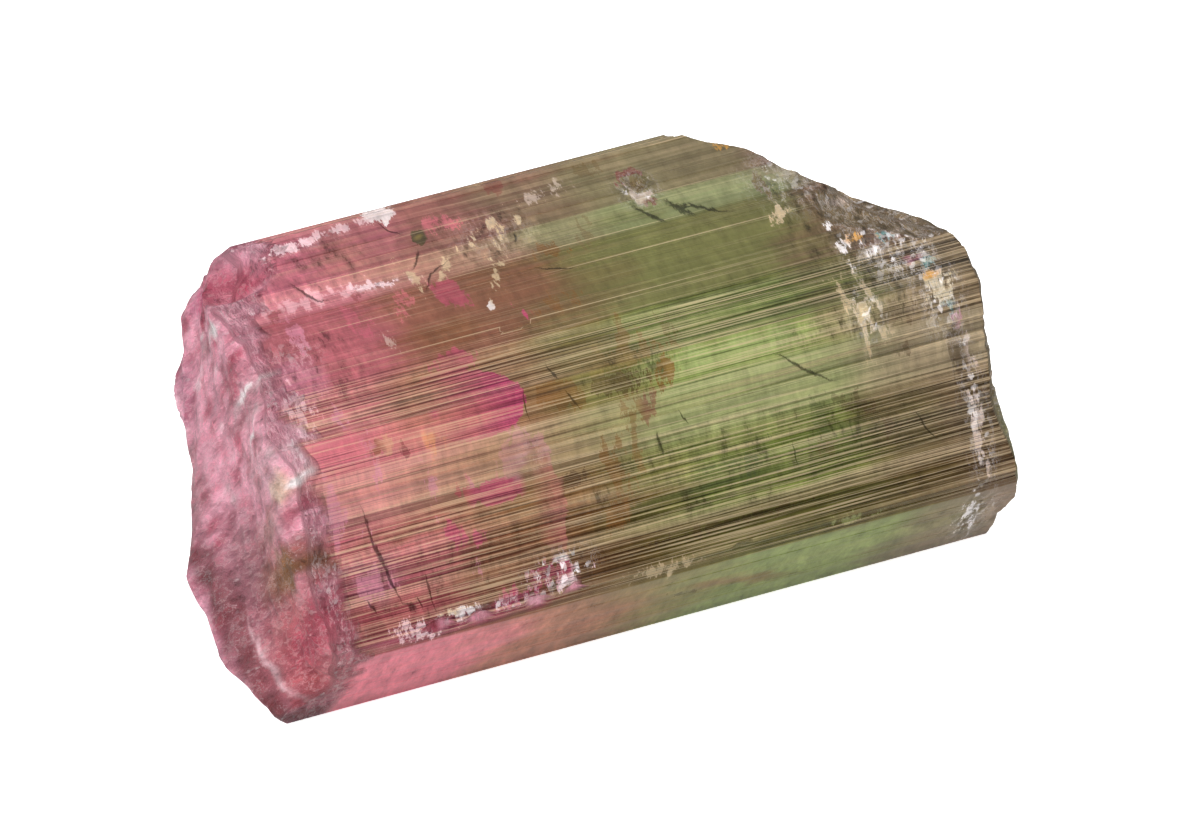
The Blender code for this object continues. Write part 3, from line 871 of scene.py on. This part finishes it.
def mesh_of_grid(name, points, along, paints, perimeter):
    """A closed mesh over rows and columns of points. Each pole is the mean of the ring beside it."""
    rows, around = points.shape[:2]
    poles = np.stack([points[0].mean(0), points[-1].mean(0)])
    vertices = np.concatenate([points.reshape(-1, 3), poles])
    faces = grid_faces(rows, around)
    mesh = bpy.data.meshes.new(name)
    mesh.from_pydata(vertices * MM, [], [face for kind in faces for face in kind.tolist()])
    lay_skin(mesh, faces, vertices[:, 0], along[0], perimeter)
    lay_paints(mesh, paints)
    mesh.shade_smooth()
    mesh.set_sharp_from_angle(angle=np.radians(SHARP_ANGLE))
    mesh.validate()
    return mesh


def linear(value):
    """A display colour as a scene-linear one."""
    value = np.array(value)
    return np.where(value <= 0.04045, value / 12.92, ((value + 0.055) / 1.055) ** 2.4)


def shade_of(colours, name):
    """The named colour, scene-linear."""
    return linear(getattr(colours, name))


def eased(value, low, high):
    """0 at low, 1 at high, and a smooth curve between them."""
    part = np.clip((value - low) / (high - low), 0, 1)
    return part * part * (3 - 2 * part)


def laid_over(paint, shade, factor):
    """The paint with a shade laid over it as strongly as the factor says."""
    return paint + factor[..., None] * (shade - paint)


def along_table(value, table):
    """The table's second column at each value, interpolated."""
    places, numbers = zip(*table)
    return np.interp(value, places, numbers)


def zoned(x, colours):
    """The colour of the growth zones at each x: every channel interpolated between the zones' middles."""
    middles = [middle for middle, _ in ZONES]
    shades = np.array([shade_of(colours, name) for _, name in ZONES])
    return np.stack([np.interp(x, middles, shades[:, channel]) for channel in range(3)], -1)


def out_of(across, up, middle, halves, turn):
    """How far each point lies from the middle of a turned ellipse: 1 on its border."""
    c, s = np.cos(np.radians(turn)), np.sin(np.radians(turn))
    run, rise = across - middle[0], up - middle[1]
    return np.hypot((run * c + rise * s) / halves[0], (rise * c - run * s) / halves[1])


def oval(across, up, patch):
    """How much of a soft patch covers each point: all of it inside a turned ellipse, none of it outside."""
    x, y, half_x, half_y, turn, soft, strength = patch
    return strength * eased(out_of(across, up, (x, y), (half_x, half_y), turn), 1 + soft, 1 - soft)


def covered(across, up, places):
    """How much of the strongest of several soft patches covers each point."""
    return np.max([oval(across, up, place) for place in places], 0)


def patched(paint, across, up, patches, colours, share=1.0):
    """The paint with soft patches of colour laid over it in turn, as far as the share lets them."""
    for name, *patch in patches:
        paint = laid_over(paint, shade_of(colours, name), oval(across, up, patch) * share)
    return paint


def strip_tones(along, x, edges, seed, low, high):
    """A brightness for each strip between edges, which drifts from one value to another along X."""
    # The brightness is partly the strip's own tone and partly painted light and shade on the strip.
    level = levels(along, x, edges, np.random.default_rng(seed), 0.6)
    return low * (high / low) ** np.clip(level, 0, 1)


def veiled(points, colours, low, high, palest):
    """The colour of broken tourmaline: one colour passes into another in slanting veils, or a rare palest."""
    x, y, z = np.moveaxis(points, -1, 0)
    slant = np.stack([(0.8 * y + 0.6 * z) / 0.8, (0.8 * z - 0.6 * y) / 3.6, x / 1.5], -1)
    lumps = 0.5 + 0.3 * waves(points, 37, 3.0) + 0.35 * waves(slant, 42, 1.0)
    paint = laid_over(shade_of(colours, low) + 0 * points, shade_of(colours, high), eased(lumps, -0.4, 0.8))
    return laid_over(paint, shade_of(colours, palest), 0.6 * eased(lumps, 0.9, 1.3))


def break_paint(points, ridge, colours):
    """The colour of the broken ends.

    The pink end has veils of rose and shell pink, with patches. The green end has veils of olive green, which
    turn grey brown up on the shoulder. Ridges are painted paler and hollows darker, as painted light and
    shade of the relief.
    """
    x, y, z = np.moveaxis(points, -1, 0)
    warped_y = y + 0.25 * waves(points, 38, 2.0)
    warped_z = z + 0.25 * waves(points, 39, 2.0)
    pinks = veiled(points, colours, "mallow", "shell_pink", "pale_pink")
    pinks = patched(pinks, warped_y, warped_z, PINK_PATCHES, colours, x < -12)
    greens = veiled(points, colours, "khaki", "sage", "cream")
    greys = veiled(points, colours, "smoke", "stone", "pale_mauve")
    greens = laid_over(greens, greys, eased(z + 1.5 * waves(points, 50, 4.0), 8.0, 14.0))
    # Ridges painted paler and hollows darker: painted light and shade of the relief.
    return laid_over(pinks, greens, eased(x, -4, 6)) * (1 + 0.5 * (ridge - 0.5))[..., None]


def face_paint(x, along, reach, edges, striated, colours):
    """The colour of the prism's faces.

    Growth zones follow each other along X, and their borders wander and are ragged from one fine line to the
    next. Each group of faces is painted lighter or darker, as painted light and shade. Over them lie the soft
    patches, the brightness of the growth steps and a tone for each fine line, partly their own tone and
    partly painted light and shade, with tan as a painted highlight on the brighter ones.
    """
    skin = np.stack([x, along], -1)
    ragged = np.random.default_rng(31).uniform(-1, 1, len(edges))[strip_of(along, edges)]
    wander = x + 1.1 * waves(skin, 32, 6.0) + 0.7 * ragged
    paint = 0.0
    # Each face group's brightness is painted light and shade, and its veil is partly painted reflection.
    for start, shift, bright, veil, strength in FACE_TONES:
        zones = zoned(wander - shift, colours)
        face = bright * laid_over(zones, shade_of(colours, veil), np.full(x.shape, strength))
        paint = laid_over(paint, face, eased(along, start - 0.15, start + 0.15))
    shaken_x = x + 0.25 * ragged + 0.3 * waves(skin, 33, 2.0)
    shaken_s = along + 0.2 * waves(skin, 34, 2.0)
    paint = patched(paint, shaken_x, shaken_s, FACE_PATCHES, colours)
    # Darker steps and lines are painted shade and tan on the brighter ones a painted highlight, besides their
    # own tone; TONES adds painted light and shade for each band of faces.
    tones = strip_tones(along, x, step_edges(reach)[0], 35, 0.68, 1.42)
    tones = tones * strip_tones(along, x, edges, 36, 0.52, 1.8)
    tones = 1 + np.maximum(striated, 0.12) * (tones - 1)
    paint = paint * (along_table(along, TONES) * np.minimum(tones, 1))[..., None]
    paint = laid_over(paint, shade_of(colours, "tan"), 0.4 * np.clip(tones - 1, 0, 1))
    mottle = np.stack([waves(skin * (1.0, 0.6), seed, 1.8) for seed in (43, 44, 45)], -1).mean(-1)
    return paint * (1 + 0.12 * mottle)[..., None]


def stained(x, along, colours):
    """The colour and strength of the stain nearest to each point, and how far inside its border the point is.

    The depth is measured in the stain's raggedness, so that the same noise frays one border more than
    another.
    """
    stains = [(name, *row, 0.0)[:9] for name, rows in STAINS_AND_GLINTS.items() for row in rows]
    depth = np.full(x.shape, -FAR)
    owner = np.zeros(x.shape, int)
    for number, (_, middle_x, middle_s, half_x, half_s, turn, ragged, _, _) in enumerate(stains):
        inside = 1 - out_of(x, along, (middle_x, middle_s), (half_x, half_s), turn)
        inside = inside * min(half_x, half_s) / ragged
        owner = np.where(inside > depth, number, owner)
        depth = np.maximum(inside, depth)
    shades = np.array([shade_of(colours, stain[0]) for stain in stains])[owner]
    middle, half, strength, fading = np.array([(stain[1], stain[3], *stain[-2:]) for stain in stains]).T
    strength = strength[owner] * (1 - fading[owner] * eased((middle[owner] - x) / half[owner], -0.9, 0.9))
    return np.concatenate([shades, strength[..., None]], -1), depth


def nearest_line(x, along, lines):
    """How far each point lies to the side of the nearest line, in half widths, and a taper, 1 at its tip.

    A line is given by its middle, half length, turn, bow and half width, and the side is the distance from a
    parabola. The taper also passes 1 half a millimetre away from the line, so that no mark is drawn where one
    line's reach meets another's.
    """
    side = np.zeros(x.shape)
    taper = np.full(x.shape, FAR)
    for middle_x, middle_s, half, turn, bow, width in lines:
        c, s = np.cos(np.radians(turn)), np.sin(np.radians(turn))
        run = ((x - middle_x) * c + (along - middle_s) * s) / half
        off = (along - middle_s) * c - (x - middle_x) * s + bow * (1 - run**2)
        end = np.minimum(run**2 + np.maximum(np.abs(off) - 0.4, 0) * 6, FAR)
        side = np.where(end < taper, off / width, side)
        taper = np.minimum(end, taper)
    return side, taper


def crushing(x, along, z, fields, shoulder, broken, on_face):
    """How crushed each point is: the breaks' ridges, both shoulders and the crushed places on the faces."""
    crushed = np.maximum(0.3 * broken, 0.6 * fields["ridge"] * fields["broken"])
    crushed = np.maximum(crushed, 0.5 * eased(shoulder, -0.8, 0.6) * on_face)
    crushed = np.maximum(crushed, 0.6 * broken * eased(x, 4, 8) * eased(z, 9, 14))
    return np.maximum(crushed, covered(x, along, CRUSHED) * on_face)


def painted(points, along, fields, shape, colours):
    """What the material reads from each point of the surface, as named colours and vectors.

    tint is the colour, painted light and shade included, with the strength of the brush-like marks as its
    fourth part, and stain the colour of the nearest crisp stain or painted glint. marks holds the depth
    inside that stain and the side and taper of the nearest crack, and threads those of the nearest thread, a
    painted highlight. grain holds how broken the surface is, how crushed it is and how strongly the fine
    lines, painted highlights and shadows, mark it. weave is where the grainy noise is read: it is drawn out
    along a slant on the ends.
    """
    x, y, z = np.moveaxis(points, -1, 0)
    _, _, _, reach = outline(np.zeros(1))
    edges = line_edges(reach, shape.line_width / MM)
    shoulder = along_table(along, SHOULDER) + 0.45 * waves(np.stack([x, along], -1), 49, 2.2) - x
    broken = np.maximum(fields["broken"], eased(shoulder, -0.3, 0.3))
    on_face = fields["broken"] < 0.5
    faces = face_paint(x, along, reach, edges, fields["striated"], colours)
    tint = laid_over(faces, break_paint(points, fields["ridge"], colours), broken)
    crushed = crushing(x, along, z, fields, shoulder, broken, on_face)
    brushed = np.maximum(np.maximum(BRUSHED_ELSEWHERE, 0.5 * broken), covered(x, along, BRUSHED))
    stain, depth = stained(x, along, colours)
    side, taper = nearest_line(x, along, CRACKS)
    threads = [(middle, place, half, 0.0, 0.0, width) for middle, place, half, width in THREADS]
    thread_side, thread_taper = nearest_line(x, along, threads)
    lined = along_table(along, LINING) * np.clip(1 - broken, 0, 1)
    on_end = fields["on_end"][..., None]
    drawn_out = np.stack([x, 0.79 * z - 0.62 * y, 0.79 * y + 0.62 * z], -1) / END_GRAIN
    marks = [np.where(on_face, depth, -FAR), side, np.where(on_face, taper, FAR)]
    return {
        "tint": np.concatenate([tint, brushed[..., None]], -1),
        "stain": stain,
        "marks": np.stack(marks, -1),
        "threads": np.stack([thread_side, np.where(broken < 0.5, thread_taper, FAR), 0.0 * x], -1),
        "grain": np.stack([broken, crushed, lined], -1),
        "weave": on_end * drawn_out + (1 - on_end) * points / FACE_GRAIN,
    }


class Wiring:
    """Adds nodes to a node tree and joins them. An input may be another node's output or a plain value."""

    def __init__(self, tree):
        self.tree = tree

    def add(self, kind, settings=(), **inputs):
        node = self.tree.nodes.new(kind)
        for name, value in dict(settings).items():
            setattr(node, name, value)
        for name, value in inputs.items():
            self.put(node.inputs[name.replace("_", " ")], value)
        return node

    def put(self, socket, value):
        if isinstance(value, bpy.types.NodeSocket):
            self.tree.links.new(value, socket)
        else:
            socket.default_value = value

    def maths(self, operation, *values):
        node = self.add("ShaderNodeMath", {"operation": operation})
        for socket, value in zip(node.inputs, values):
            self.put(socket, value)
        return node.outputs["Value"]

    def plus(self, first, second):
        return self.maths("ADD", first, second)

    def times(self, first, second):
        return self.maths("MULTIPLY", first, second)

    def scaled(self, value, factor, offset):
        return self.maths("MULTIPLY_ADD", value, factor, offset)

    def size(self, value):
        return self.maths("ABSOLUTE", value)

    def highest(self, first, *others):
        for other in others:
            first = self.maths("MAXIMUM", first, other)
        return first

    def vector(self, operation, *values):
        node = self.add("ShaderNodeVectorMath", {"operation": operation})
        for socket, value in zip([socket for socket in node.inputs if socket.enabled], values):
            self.put(socket, value)
        return node.outputs["Vector"]

    def noise(self, vector, detail, roughness):
        """Noise whose lumps are about 1 long."""
        settings = {"Vector": vector, "Scale": 1.0, "Detail": detail, "Roughness": roughness}
        return self.add("ShaderNodeTexNoise", **settings).outputs["Fac"]

    def ramp(self, value, low, high, start=0.0, end=1.0):
        node = self.add("ShaderNodeMapRange", {"interpolation_type": "SMOOTHSTEP"}, Value=value)
        for socket, limit in zip(("From Min", "From Max", "To Min", "To Max"), (low, high, start, end)):
            self.put(node.inputs[socket], limit)
        return node.outputs["Result"]

    def mix(self, factor, first, second):
        node = self.add("ShaderNodeMix", {"data_type": "RGBA", "clamp_result": False})
        for number, value in ((0, factor), (6, first), (7, second)):
            self.put(node.inputs[number], value)
        return node.outputs[2]

    def attribute(self, name, output):
        return self.add("ShaderNodeAttribute", {"attribute_name": name}).outputs[output]

    def split(self, vector):
        return self.add("ShaderNodeSeparateXYZ", Vector=vector).outputs


def crystal_material(colours):
    """See-through tourmaline. The mesh carries its colours and marks, and three patterns add what is finer.

    A grainy noise frays the stains' borders, shakes the cracks and draws pale veins in the crushed places,
    painted highlights on the crumpled ridges. A second noise is drawn out along X into fine light and dark
    lines, painted highlights and painted shadows of the striations. A pattern of small cells breaks the
    crushed places into flakes, each with a tone and a tilt of its own, the tone painted light and shade: a
    few are painted glints and a few are painted dark shade.
    The two noises also raise the bump.
    """
    material = bpy.data.materials.new("pink_green_tourmaline")
    material.use_nodes = True
    tree = material.node_tree
    wiring = Wiring(tree)
    shader = tree.nodes["Principled BSDF"]

    weave = wiring.attribute("weave", "Vector")
    skin = wiring.add("ShaderNodeUVMap", {"uv_map": "skin"}).outputs["UV"]
    depth, side, taper = wiring.split(wiring.attribute("marks", "Vector"))
    thread_side, thread_taper, _ = wiring.split(wiring.attribute("threads", "Vector"))
    broken, crushed, lined = wiring.split(wiring.attribute("grain", "Vector"))

    grains = wiring.noise(weave, *GRAINS)
    lines = wiring.noise(wiring.vector("DIVIDE", skin, LINE_SIZE), *LINES)
    place = wiring.vector("MULTIPLY_ADD", weave, FLAKES_IN_GRAIN, wiring.times(grains, 4.0))
    flakes = wiring.add("ShaderNodeTexVoronoi", Vector=place, Scale=1.0).outputs["Color"]
    # Each flake's painted tone, painted glint and painted shade.
    tone, shine, shadow = wiring.split(flakes)
    rarity = wiring.scaled(crushed, 0.33, -0.05)
    texture = wiring.times(wiring.plus(grains, -0.5), wiring.attribute("tint", "Alpha"))
    # The fine light and dark lines: painted highlights and painted shadows of the striations.
    line_light_and_shade = wiring.times(wiring.plus(lines, -0.5), lined)

    # The crisp stains, among them a few painted glints.
    frayed = wiring.ramp(wiring.scaled(grains, 3.0, depth), 1.46, 1.54)
    stain = wiring.times(frayed, wiring.attribute("stain", "Alpha"))
    paint = wiring.mix(stain, wiring.attribute("tint", "Color"), wiring.attribute("stain", "Color"))
    paint = wiring.vector("SCALE", paint, wiring.scaled(texture, 4.2, 1.0))
    # Each flake painted lighter or darker: painted light and shade on the crushed facets.
    flake_tone = wiring.times(wiring.plus(tone, -0.5), crushed)
    paint = wiring.vector("SCALE", paint, wiring.scaled(flake_tone, 0.7, 1.0))

    # Painted highlights: the light fine lines and the threads, mixed towards the sheen colour.
    thread = wiring.plus(wiring.size(thread_side), thread_taper)
    bright = wiring.highest(
        wiring.ramp(line_light_and_shade, 0.01, 0.12, 0.0, 0.55),
        wiring.ramp(thread, 1.0, 0.4, 0.0, 0.6),
    )
    paint = wiring.mix(bright, paint, (*shade_of(colours, "sheen"), 1.0))

    # Darkening: painted shadows in the dark fine lines and on the darkest flakes, and the cracks and brush
    # marks.
    shaken = wiring.size(wiring.scaled(grains, 5.0, wiring.plus(side, -2.5)))
    dark = wiring.highest(
        wiring.ramp(line_light_and_shade, -0.02, -0.12, 0.0, 0.85),
        wiring.ramp(wiring.plus(shaken, taper), 1.0, 0.3),
        wiring.ramp(texture, -0.06, -0.10, 0.0, 0.45),
        wiring.ramp(wiring.plus(shadow, rarity), 0.97, 1.25, 0.0, 0.9),
    )
    paint = wiring.vector("SCALE", paint, wiring.scaled(dark, -0.8, 1.0))

    # Pale veins, painted highlights on the crumpled ridges, and the brightest flakes, painted glints, go
    # towards white.
    ridge_highlight = wiring.ramp(wiring.size(wiring.plus(grains, -0.54)), 0.020, 0.006, 0.0, 0.6)
    ridge_highlight = wiring.times(ridge_highlight, wiring.highest(crushed, wiring.times(broken, 0.35)))
    glint = wiring.highest(ridge_highlight, wiring.ramp(wiring.plus(shine, rarity), 0.97, 1.25, 0.0, 0.8))
    wiring.put(shader.inputs["Base Color"], wiring.mix(glint, paint, (*shade_of(colours, "white"), 1.0)))

    height = wiring.scaled(wiring.times(grains, broken), 30.0, lines)
    bump = wiring.add("ShaderNodeBump", Height=height, **BUMP)
    tilt = wiring.vector("SCALE", wiring.vector("SUBTRACT", flakes, (0.5, 0.5, 0.5)), crushed)
    normal = wiring.vector("NORMALIZE", wiring.vector("ADD", bump.outputs["Normal"], tilt))
    for socket in ("Normal", "Coat Normal"):
        wiring.put(shader.inputs[socket], normal)
    wiring.put(shader.inputs["Coat Weight"], wiring.ramp(crushed, 0.0, 0.7, 0.1, 0.5))
    # The painted glints let less light through, so that they stay whiter.
    wiring.put(shader.inputs["Transmission Weight"], wiring.ramp(glint, 0.0, 1.0, 0.55, 0.1))
    for name, value in CRYSTAL.items():
        shader.inputs[name].default_value = value
    absorption = wiring.add("ShaderNodeVolumeAbsorption", **ABSORPTION)
    tree.links.new(absorption.outputs["Volume"], tree.nodes["Material Output"].inputs["Volume"])
    return material


def add_object(name, data):
    """A new object in the scene's collection."""
    item = bpy.data.objects.new(name, data)
    bpy.context.scene.collection.objects.link(item)
    return item


def build_crystal(shape, colours):
    """The whole crystal as one piece, centred on the CAD node's box."""
    points, along, fields, perimeter = crystal_surface(shape)
    middle = (points.reshape(-1, 3).min(0) + points.reshape(-1, 3).max(0)) / 2
    wanted = (np.array(NODE_LOW) + np.array(NODE_HIGH)) / 2 / MM
    points = points + (wanted - middle) * (1, 1, 0)
    paints = painted(points, along, fields, shape, colours)
    mesh = mesh_of_grid("tourmaline_crystal", points, along, paints, perimeter)
    mesh.materials.append(crystal_material(colours))
    crystal = add_object("tourmaline_crystal", mesh)
    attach(crystal, "root")
    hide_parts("crystal")
    return crystal


def build_floor(studio):
    """A plain white floor just under the crystal."""
    material = bpy.data.materials.new("white_floor")
    material.use_nodes = True
    shader = material.node_tree.nodes["Principled BSDF"]
    shader.inputs["Base Color"].default_value = (0.93, 0.93, 0.93, 1.0)
    shader.inputs["Roughness"].default_value = 0.9
    shader.inputs["Emission Color"].default_value = WHITE
    shader.inputs["Emission Strength"].default_value = studio.floor_glow
    half = studio.floor_size / 2
    depth = -studio.floor_gap
    corners = [(-half, -half, depth), (half, -half, depth), (half, half, depth), (-half, half, depth)]
    mesh = bpy.data.meshes.new("floor")
    mesh.from_pydata(corners, [], [(0, 1, 2, 3)])
    mesh.materials.append(material)
    floor = add_object("floor", mesh)
    floor.visible_glossy = False


def area_light(name, place, side, watts):
    """A square lamp that shines at the origin."""
    light = bpy.data.lights.new(name, "AREA")
    light.shape = "RECTANGLE"
    light.size, light.size_y = side, side
    light.energy = watts
    lamp = add_object(name, light)
    lamp.location = place
    lamp.rotation_mode = "QUATERNION"
    lamp.rotation_quaternion = Vector(place).to_track_quat("Z", "Y")


def build_world():
    """A soft white dome, brightest overhead and dim near the floor."""
    world = bpy.data.worlds.new("dome")
    world.use_nodes = True
    wiring = Wiring(world.node_tree)
    up = wiring.split(wiring.add("ShaderNodeTexCoord").outputs["Generated"])["Z"]
    background = world.node_tree.nodes["Background"]
    background.inputs["Color"].default_value = WHITE
    wiring.put(background.inputs["Strength"], wiring.ramp(up, 0.4, 0.95, 0.25, 1.1))
    bpy.context.scene.world = world


def build_camera(studio):
    """A long lens at the studio's azimuth and elevation, aimed a little off the crystal's middle."""
    a, e = studio.azimuth, studio.elevation
    back = Vector((np.sin(a) * np.cos(e), -np.cos(a) * np.cos(e), np.sin(e)))
    right = Vector((np.cos(a), np.sin(a), 0.0))
    up = back.cross(right)
    target = Vector((0.0, 0.0, AXIS_Z * MM)) + right * studio.aim_right - up * studio.aim_down
    camera_data = bpy.data.cameras.new("camera")
    camera_data.lens = studio.lens
    camera_data.sensor_width = 36.0
    camera_data.clip_start, camera_data.clip_end = 0.01, 20.0
    camera = add_object("camera", camera_data)
    camera.location = target + back * studio.distance
    camera.rotation_mode = "QUATERNION"
    camera.rotation_quaternion = back.to_track_quat("Z", "Y")
    bpy.context.scene.camera = camera


class TOURMALINE_OT_crystal(bpy.types.Operator):
    """Build the crystal in place of its plain solid"""

    bl_idname = "tourmaline.crystal"
    bl_label = "Build crystal"

    def execute(self, context):
        build_crystal(context.scene.tourmaline_shape, context.scene.tourmaline_colours)
        return {"FINISHED"}


class TOURMALINE_OT_studio(bpy.types.Operator):
    """Add the floor, the lights, the dome and the camera"""

    bl_idname = "tourmaline.studio"
    bl_label = "Build studio"

    def execute(self, context):
        studio = context.scene.tourmaline_studio
        build_floor(studio)
        build_world()
        area_light("key", (-0.05, -0.28, 0.53), 0.4, studio.key_watts)
        area_light("left", (-0.42, 0.02, 0.28), 0.3, studio.left_watts)
        build_camera(studio)
        context.scene.view_settings.view_transform = "Standard"
        return {"FINISHED"}


class TOURMALINE_PT_panel(bpy.types.Panel):
    """The crystal's sizes and colours, and its buttons"""

    bl_idname = "TOURMALINE_PT_panel"
    bl_label = "Rough Tourmaline"
    bl_space_type = "VIEW_3D"
    bl_region_type = "UI"
    bl_category = "Tourmaline"

    def draw(self, context):
        for group in GROUPS:
            settings = getattr(context.scene, group)
            box = self.layout.box()
            for name in settings.__annotations__:
                box.prop(settings, name)
        for operator in OPERATORS:
            self.layout.operator(operator.bl_idname)


GROUPS = {
    "tourmaline_shape": CrystalShape,
    "tourmaline_colours": CrystalColours,
    "tourmaline_studio": StudioSettings,
}
OPERATORS = (TOURMALINE_OT_crystal, TOURMALINE_OT_studio)
CLASSES = (*GROUPS.values(), *OPERATORS, TOURMALINE_PT_panel)


def register():
    for item in CLASSES:
        bpy.utils.register_class(item)
    for name, group in GROUPS.items():
        setattr(bpy.types.Scene, name, PointerProperty(type=group))


def unregister():
    for name in GROUPS:
        delattr(bpy.types.Scene, name)
    for item in reversed(CLASSES):
        bpy.utils.unregister_class(item)


def main():
    register()
    bpy.ops.tourmaline.crystal()
    bpy.ops.tourmaline.studio()


if __name__ == "__main__":
    main()
